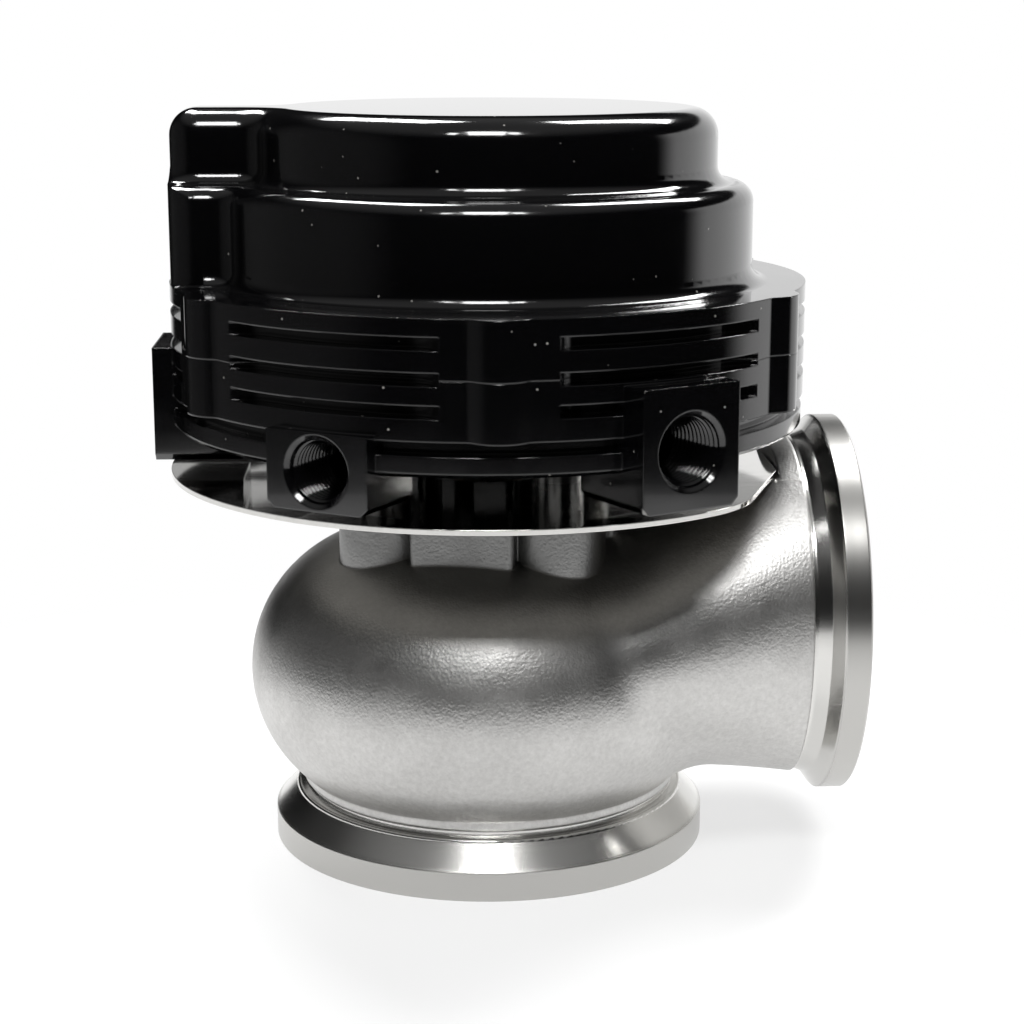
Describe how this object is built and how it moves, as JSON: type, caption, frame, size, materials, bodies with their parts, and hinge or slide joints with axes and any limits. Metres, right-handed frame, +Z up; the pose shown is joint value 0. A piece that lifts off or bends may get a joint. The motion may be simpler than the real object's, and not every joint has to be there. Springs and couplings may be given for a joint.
{
  "type": "turbo wastegate",
  "caption": "External wastegate: cast valve housing with clamp flanges at inlet and outlet, sprung poppet valve, and a finned diaphragm actuator on standoffs over a heat shield.",
  "frame": {"origin": "centre of the inlet flange's bottom face, on the valve stem's axis", "axes": "+Z up along the valve stem to the cap, +X out through the side outlet, -Y to the side with the front port blocks"},
  "size_m": [0.1072, 0.1016, 0.1153],
  "materials": {
    "cast_steel": "bead-blasted casting with turned flanges",
    "turned_steel": "turned, bevels polished",
    "black_anodised": "gloss black anodised",
    "polished_steel": "polished sheet",
    "valve_steel": "turned",
    "zinc_steel": "zinc plated",
    "bronze": "machined",
    "diaphragm_rubber": "moulded, cloth reinforced",
    "spring_steel": "shot peened",
    "plate_aluminium": "machined"
  },
  "bodies": {
    "housing": {"valve_housing": "cast_steel", "inlet_flange": "turned_steel", "outlet_flange": "turned_steel", "valve_seat": "valve_steel", "stem_guide": "bronze", "heat_shield": "polished_steel", "standoffs": "zinc_steel", "base_screws": "zinc_steel", "lower_housing": "black_anodised", "stem_bushing": "bronze", "stem_seal": "diaphragm_rubber", "retaining_ring": "spring_steel", "diaphragm": "diaphragm_rubber", "outer_spring": "spring_steel", "inner_spring": "spring_steel", "spring_shim": "zinc_steel", "actuator_cap": "black_anodised", "cap_screws": "zinc_steel"},
    "valve": {"poppet_valve": "valve_steel", "lower_diaphragm_plate": "plate_aluminium", "spring_cup": "plate_aluminium", "stem_washer": "zinc_steel", "stem_nut": "zinc_steel"}
  },
  "joints": [
    {"name": "valve_lift", "type": "slide", "parent": "housing", "child": "valve", "axis": [0, 0, 1], "range_m": [0, 0.01], "stiffness_N_per_m": 12000, "springref_m": -0.012, "deforming": ["outer_spring", "inner_spring", "diaphragm"]}
  ]
}
